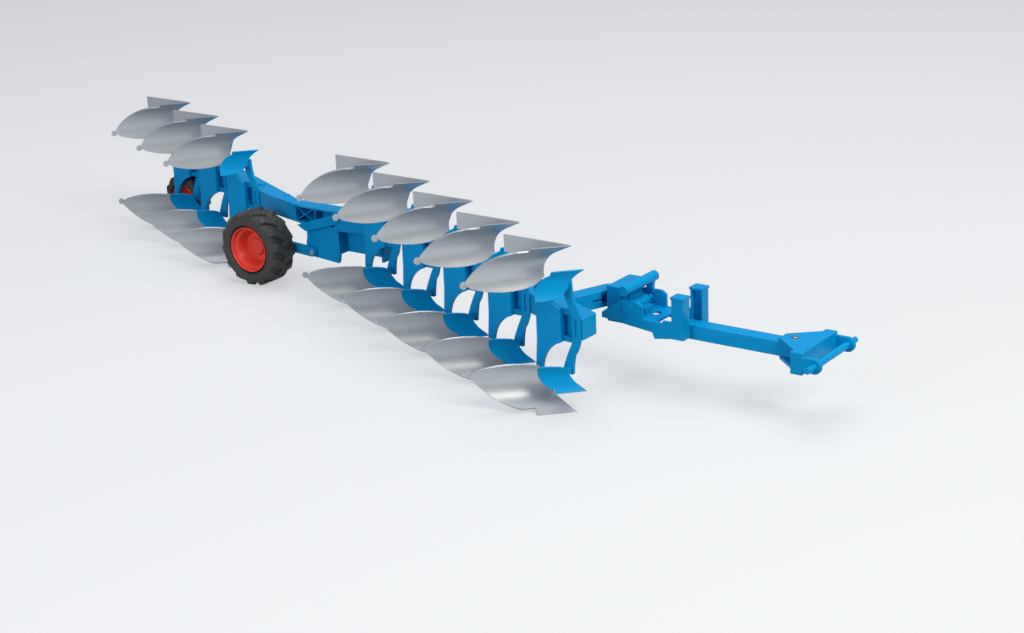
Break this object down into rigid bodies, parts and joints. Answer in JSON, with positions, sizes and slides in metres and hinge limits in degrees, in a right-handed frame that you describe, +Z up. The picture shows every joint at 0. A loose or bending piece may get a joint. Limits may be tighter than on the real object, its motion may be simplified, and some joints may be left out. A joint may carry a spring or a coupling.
{
  "type": "toy semi-mounted reversible mouldboard plough",
  "caption": "Toy reversible plough: mirrored rows of mouldboards on a slanting beam, turnover head, drawbar and carrying wheel.",
  "frame": {"origin": "centre of the hitch shaft, on its axis, midway between its two ends", "axes": "+X forward, towards the tractor, +Y to the left along the hitch shaft, +Z up"},
  "size_m": [0.814, 0.3097, 0.124],
  "materials": {
    "blue_plastic": "moulded, satin",
    "silver_plastic": "silver-grey, satin",
    "red_plastic": "moulded, satin",
    "tyre_rubber": "soft, dull",
    "pin_steel": "plain"
  },
  "bodies": {
    "frame": {"lower_mouldboard_1": "silver_plastic", "lower_mouldboard_2": "silver_plastic", "lower_mouldboard_3": "silver_plastic", "lower_mouldboard_4": "silver_plastic", "lower_mouldboard_5": "silver_plastic", "lower_mouldboard_6": "silver_plastic", "lower_mouldboard_7": "silver_plastic", "lower_mouldboard_8": "silver_plastic", "lower_shares": "silver_plastic", "lower_landsides": "silver_plastic", "upper_mouldboard_1": "silver_plastic", "upper_mouldboard_2": "silver_plastic", "upper_mouldboard_3": "silver_plastic", "upper_mouldboard_4": "silver_plastic", "upper_mouldboard_5": "silver_plastic", "upper_mouldboard_6": "silver_plastic", "upper_mouldboard_7": "silver_plastic", "upper_mouldboard_8": "silver_plastic", "upper_shares": "silver_plastic", "upper_landsides": "silver_plastic", "leg_1": "blue_plastic", "leg_2": "blue_plastic", "leg_3": "blue_plastic", "leg_4": "blue_plastic", "leg_5": "blue_plastic", "leg_6": "blue_plastic", "leg_7": "blue_plastic", "leg_8": "blue_plastic", "skimmer_1": "blue_plastic", "skimmer_2": "blue_plastic", "skimmer_3": "blue_plastic", "skimmer_4": "blue_plastic", "skimmer_5": "blue_plastic", "skimmer_6": "blue_plastic", "skimmer_7": "blue_plastic", "skimmer_8": "blue_plastic", "brackets": "blue_plastic", "front_beam": "blue_plastic", "mid_beam": "blue_plastic", "rear_beam": "blue_plastic", "swing_arm": "blue_plastic", "wheel_carrier": "blue_plastic", "depth_wheel_bracket": "blue_plastic", "swing_pin": "pin_steel", "arm_pivot": "pin_steel"},
    "hub": {"turnover_shaft": "blue_plastic"},
    "head": {"bearing_block": "blue_plastic", "cylinders": "blue_plastic", "cylinder_link": "blue_plastic", "yoke": "blue_plastic", "yoke_pin": "pin_steel"},
    "drawbar": {"drawbar": "blue_plastic"},
    "headstock": {"headstock": "blue_plastic", "steering_pin": "pin_steel", "hitch_shaft": "blue_plastic"},
    "wheel_arm": {"wheel_arm": "blue_plastic"},
    "main_wheel": {"main_rim": "red_plastic", "main_tyre": "tyre_rubber"},
    "depth_wheel": {"depth_rim": "red_plastic", "depth_tyre": "tyre_rubber"}
  },
  "joints": [
    {"name": "swing", "type": "hinge", "parent": "frame", "child": "hub", "pos_m": [-0.182, 0, 0.01525], "axis": [0, 0, 1], "range_deg": [-8, 8]},
    {"name": "turnover", "type": "hinge", "parent": "hub", "child": "head", "pos_m": [-0.168, 0, 0.01525], "axis": [1, 0, 0], "range_deg": [0, 180]},
    {"name": "drawbar_pitch", "type": "hinge", "parent": "head", "child": "drawbar", "pos_m": [-0.124, 0, 0], "axis": [0, -1, 0], "range_deg": [0, 20]},
    {"name": "steering", "type": "hinge", "parent": "drawbar", "child": "headstock", "pos_m": [-0.028, 0, 0], "axis": [0, 0, 1], "range_deg": [-75, 75]},
    {"name": "wheel_arm", "type": "hinge", "parent": "frame", "child": "wheel_arm", "pos_m": [-0.5225, 0.0536, -0.01655], "axis": [0, 1, 0], "range_deg": [-15, 20]},
    {"name": "main_wheel_spin", "type": "hinge", "parent": "wheel_arm", "child": "main_wheel", "pos_m": [-0.5705, 0.03685, -0.01375], "axis": [0, 1, 0], "continuous": true},
    {"name": "depth_wheel_spin", "type": "hinge", "parent": "frame", "child": "depth_wheel", "pos_m": [-0.766, 0.1487, -0.02275], "axis": [0, 1, 0], "continuous": true}
  ]
}
